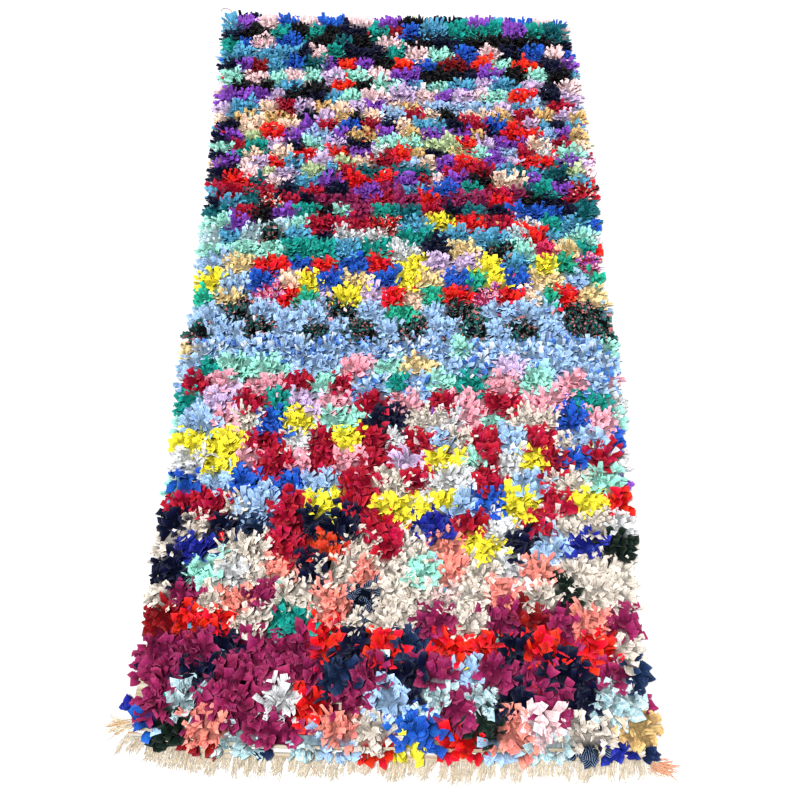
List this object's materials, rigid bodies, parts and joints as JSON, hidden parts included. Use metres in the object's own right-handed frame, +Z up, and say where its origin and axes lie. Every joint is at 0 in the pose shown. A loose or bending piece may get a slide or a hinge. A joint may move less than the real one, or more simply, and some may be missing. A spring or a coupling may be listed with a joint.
{
  "type": "boucherouite rag rug",
  "caption": "Hand-knotted rag rug lying flat: a lumpy shag pile of many-coloured cloth strips on a woven ground, with a bare heading and a warp fringe at one end.",
  "frame": {"origin": "on the floor, under the middle of the rug's bounding box", "axes": "+X across the rug, +Y along it from the fringed end to the plain end, +Z up out of the pile"},
  "size_m": [1.1694, 2.3538, 0.0355],
  "materials": {
    "mixed_rags": "matt woven and knitted rag strips in many colours",
    "undyed_warp": "matt undyed cotton yarn"
  },
  "bodies": {
    "root": {"rag_pile": "mixed_rags", "warp_fringe": "undyed_warp"}
  },
  "joints": []
}
